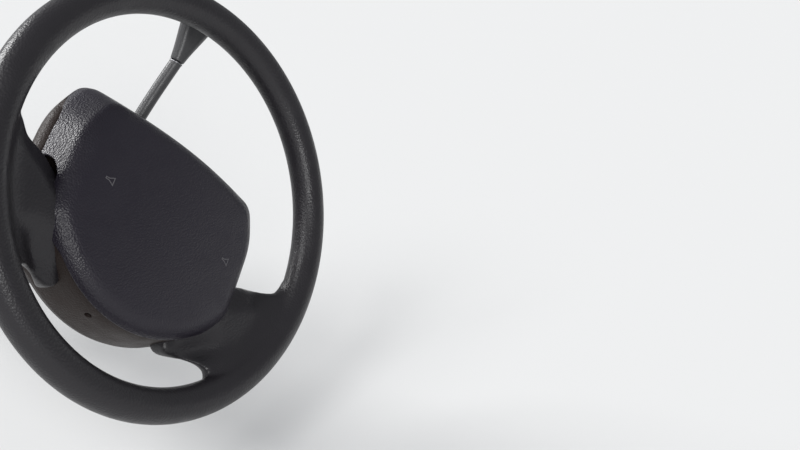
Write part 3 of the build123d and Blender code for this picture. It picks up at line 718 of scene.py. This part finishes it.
# %% Round the edges of a CAD node's copy
def rounded(name, node, material, body, voxel, passes):
    """A piece that stands for a CAD node, as a skin of that many millimetres round a copy of it."""
    copy = bmesh.new()
    copy.from_mesh(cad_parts[node].data)
    bmesh.ops.transform(copy, matrix=column.inverted(), verts=copy.verts)
    bmesh.ops.remove_doubles(copy, verts=copy.verts, dist=0.001)
    finished(name, skin(copy, voxel, passes), column, material, body, node, crease=60)


rounded("upper_cover_moulding", "upper_column_cover", column_plastic, "tilt_head", 1.25, 3)
rounded("lower_cover_moulding", "lower_column_cover", column_plastic, "tilt_head", 1.25, 3)
rounded("tilt_head_casting", "tilt_housing", housing_metal, "tilt_head", 1.4, 3)
rounded("yoke_forging", "pivot_yoke", black_steel, "column", 1.2, 2)
rounded("bracket_pressing", "mounting_bracket", black_steel, "column", 1.3, 2)

# %% [markdown]
# ## Turned pieces
#
# The stalk, the lock, the button and the ring of the selector are round. Each is a profile of a few
# points, distance along and radius, that is spun about its axis in one full turn.


# %% Spin a profile
def turned(profile, origin, direction):
    """A closed round form about the line from origin along direction, in the column's millimetres."""
    lathe = bmesh.new()
    points = [lathe.verts.new((radius, 0, along)) for along, radius in profile]
    for a, b in zip(points, points[1:]):
        lathe.edges.new((a, b))
    line = lathe.verts[:] + lathe.edges[:]
    bmesh.ops.spin(lathe, geom=line, axis=(0, 0, 1), angle=2 * math.pi, steps=48, use_merge=True)
    bmesh.ops.remove_doubles(lathe, verts=lathe.verts, dist=0.0005)
    stand = Vector(direction).to_track_quat("Z", "Y").to_matrix().to_4x4()
    bmesh.ops.transform(lathe, matrix=Matrix.Translation(origin) @ stand, verts=lathe.verts)
    return lathe


# %% Turn signal stalk, with the wiper's ring
STALK = [
    (0, 0), (0, 7.6), (5, 7.2), (9, 5.4), (13, 5), (52, 5.8), (60, 6), (62, 7.2), (64, 7.6), (104, 8.3),
    (105.5, 7.7), (108, 7.7), (109.5, 8.4), (112, 8.6), (114, 8.4), (115, 7.9), (117, 7.9), (118.5, 8.5),
    (144, 9), (147.5, 8.4), (149.6, 6.5), (150, 4), (150, 0),
]
stalk = turned(STALK, (-46, 0, -96), (-1, 0.06, 0.12))
finished("turn_signal_stalk_arm", stalk, column, stalk_plastic, "tilt_head", "turn_signal_stalk", crease=32)

# %% Ignition lock, with its bezel
LOCK = [
    (0, 0), (0, 12), (30, 12), (31.5, 11.6), (33, 11.6), (34.5, 11.9), (36, 10.8), (35.6, 9.2), (34.4, 8.6),
    (34.4, 0),
]
lock = turned(LOCK, (34, -24, -92), (1, 0, 0))
finished("ignition_lock_barrel", lock, column, lock_metal, "tilt_head", "ignition_lock", crease=30)

# %% Hazard button
BUTTON = [(0, 0), (0, 8), (12.2, 8), (13.4, 7.5), (13.9, 6.6), (13.6, 4), (13.5, 0)]
button = turned(BUTTON, (0, 40, -98), (0, 1, 0))
finished("hazard_button_cap", button, column, hazard_plastic, "tilt_head", "hazard_button", crease=40)

# %% The button's triangle
triangle = bmesh.new()
for radius in (5.6, 3.9):
    bmesh.ops.create_circle(triangle, radius=radius, segments=3)
bmesh.ops.bridge_loops(triangle, edges=triangle.edges[:])
high = bmesh.ops.extrude_face_region(triangle, geom=triangle.faces[:], use_keep_orig=True)["geom"]
bmesh.ops.translate(triangle, verts=[v for v in high if isinstance(v, bmesh.types.BMVert)], vec=(0, 0, 0.5))
on_the_cap = Matrix.Translation((0, 53.5, -98)) @ Matrix.Rotation(-math.pi / 2, 4, "X")
bmesh.ops.transform(triangle, matrix=on_the_cap, verts=triangle.verts)
hazard_red = moulded("hazard_red", (0.42, 0.02, 0.015), 0.35, 0.0009, 0.00002)
finished("hazard_triangle", triangle, column, hazard_red, "tilt_head", crease=30)

# %% [markdown]
# ## Tilt lever and key
#
# Both are small closed forms that overlap, so one fine skin joins them: a rod and a paddle, and for the
# key a round head with its hole and the neck of its blade.

# %% Tilt lever
lever = bmesh.new()
arm = bmesh.ops.create_cone(lever, cap_ends=True, segments=32, radius1=3.5, radius2=3.1, depth=74)["verts"]
bmesh.ops.rotate(lever, verts=arm, matrix=Matrix.Rotation(-math.pi / 2, 3, "Y"))
bmesh.ops.translate(lever, verts=arm, vec=(-68, 0, 0))
paddle = bmesh.ops.create_cube(lever, size=1)["verts"]
bmesh.ops.scale(lever, verts=paddle, vec=(26, 18, 10))
bmesh.ops.translate(lever, verts=paddle, vec=(-114, 0, 0))
for v in paddle:  # narrow towards the rod
    if v.co.x > -110:
        v.co.y *= 0.62
        v.co.z *= 0.75
sides = list({e for v in paddle for e in v.link_edges})
bmesh.ops.bevel(lever, geom=sides, offset=2.6, segments=4, profile=0.5, affect="EDGES", material=-1)
bmesh.ops.triangulate(lever, faces=lever.faces)
lever = skin(lever, 0.9, 5)
bmesh.ops.translate(lever, verts=lever.verts, vec=(0, -4, -172))
finished("tilt_lever_arm", lever, column, stalk_plastic, "tilt_head", "tilt_lever", crease=60)

# %% Key
key = bmesh.new()
bow = [key.verts.new((radius, 0, z)) for radius, z in ((3, -1.5), (10, -1.5), (10, 1.5), (3, 1.5))]
for a, b in zip(bow, bow[1:] + bow[:1]):
    key.edges.new((a, b))
bmesh.ops.spin(key, geom=key.verts[:] + key.edges[:], axis=(0, 0, 1), angle=2 * math.pi, steps=48, use_merge=True)
bmesh.ops.remove_doubles(key, verts=key.verts, dist=0.0005)
neck = bmesh.ops.create_cube(key, size=1)["verts"]
bmesh.ops.scale(key, verts=neck, vec=(14, 8.5, 2.4))
bmesh.ops.translate(key, verts=neck, vec=(-8.6, 0, 0))
bmesh.ops.rotate(key, verts=key.verts, matrix=Matrix.Rotation(math.pi / 2, 3, "X"))
bmesh.ops.translate(key, verts=key.verts, vec=(82, -24, -92))
key = skin(key, 0.55, 3)
finished("ignition_key_bow", key, column, key_metal, "tilt_head", "ignition_key", crease=60)

# %% [markdown]
# ## The gear selector
#
# The rod is one smooth curve from its collar on the column up to the grip: a NURBS line that four points
# guide, with a round bevel. The grip widens towards its end. Its sections are circles pulled apart
# sideways, each drawn out from the last, and a thin metal ring closes its root.

# %% The bent rod
GRIP_ROOT, GRIP_AXIS = Vector((120.7, 112.9, -77.3)), Vector((0.588, 0.711, 0.386)).normalized()
ROD = [(33, 20, -128), (62, 39, -125), (81.6, 66.8, -115.9), GRIP_ROOT]
bend = bpy.data.curves.new("bend", "CURVE")
bend.dimensions = "3D"
line = bend.splines.new("NURBS")
line.points.add(len(ROD) - 1)
for point, place in zip(line.points, ROD):
    point.co = (*place, 1)
line.order_u, line.use_endpoint_u = 3, True
bend.resolution_u, bend.bevel_depth, bend.bevel_resolution, bend.use_fill_caps = 24, 6.4, 10, True
bent = bpy.data.objects.new("bend", bend)
scene.collection.objects.link(bent)
bpy.context.view_layer.update()
rod_mesh = bpy.data.meshes.new_from_object(bent.evaluated_get(bpy.context.evaluated_depsgraph_get()))
bpy.data.objects.remove(bent)
rod = bmesh.new()
rod.from_mesh(rod_mesh)
finished("selector_bent_rod", rod, column, grip_plastic, "gear_selector", "selector_rod", crease=50)

# %% The thin ring at the grip's root
RING = [(0, 5.8), (0, 6.5), (0.3, 6.8), (1.3, 6.8), (1.6, 6.5), (1.6, 5.8), (0, 5.8)]
ring_metal = metal("ring_metal", (0.20, 0.20, 0.21), 0.42, 1, (220, 220), 0.00005)
collar = turned(RING, GRIP_ROOT - 1.4 * GRIP_AXIS, GRIP_AXIS)
finished("selector_ring", collar, column, ring_metal, "gear_selector", crease=30)

# %% The grip
GRIP = [  # distance along, width, thickness
    (0.8, 13, 12.2), (1.4, 14.4, 13.4), (3.5, 15.2, 14), (14, 19.5, 14.9), (28, 27.5, 15.9), (42, 35, 16.5),
    (51, 39.8, 16.9), (54.5, 41, 15.6), (56.3, 40, 12), (56.8, 37, 8),
]
grip = bmesh.new()
loop = []
for along, width, thick in GRIP:
    if not loop:
        verts = bmesh.ops.create_circle(grip, radius=1, segments=40)["verts"]
        loop = grip.edges[:]
    else:
        drawn = bmesh.ops.extrude_edge_only(grip, edges=loop)["geom"]
        loop = [e for e in drawn if isinstance(e, bmesh.types.BMEdge)]
        verts = {v for e in loop for v in e.verts}
        for v in verts:  # back to a circle of radius 1
            v.co.x -= math.copysign(spread, v.co.x) if abs(v.co.x) > 0.01 else 0
            v.co.xy /= radius
    spread, radius = (width - thick) / 2, thick / 2
    for v in verts:
        v.co.xy *= radius
        v.co.x += math.copysign(spread, v.co.x) if abs(v.co.x) > 0.01 else 0
        v.co.z = along
bmesh.ops.holes_fill(grip, edges=grip.edges[:])
wide = Vector((0.7, -0.7, 0))
side = (wide - wide.dot(GRIP_AXIS) * GRIP_AXIS).normalized()
stand = Matrix((side, GRIP_AXIS.cross(side), GRIP_AXIS)).transposed().to_4x4()
bmesh.ops.transform(grip, matrix=Matrix.Translation(GRIP_ROOT) @ stand, verts=grip.verts)
handle = finished("selector_grip_handle", grip, column, grip_plastic, "gear_selector", "selector_grip", crease=50)
round_off = handle.modifiers.new("round", "SUBSURF")
round_off.levels = round_off.render_levels = 2
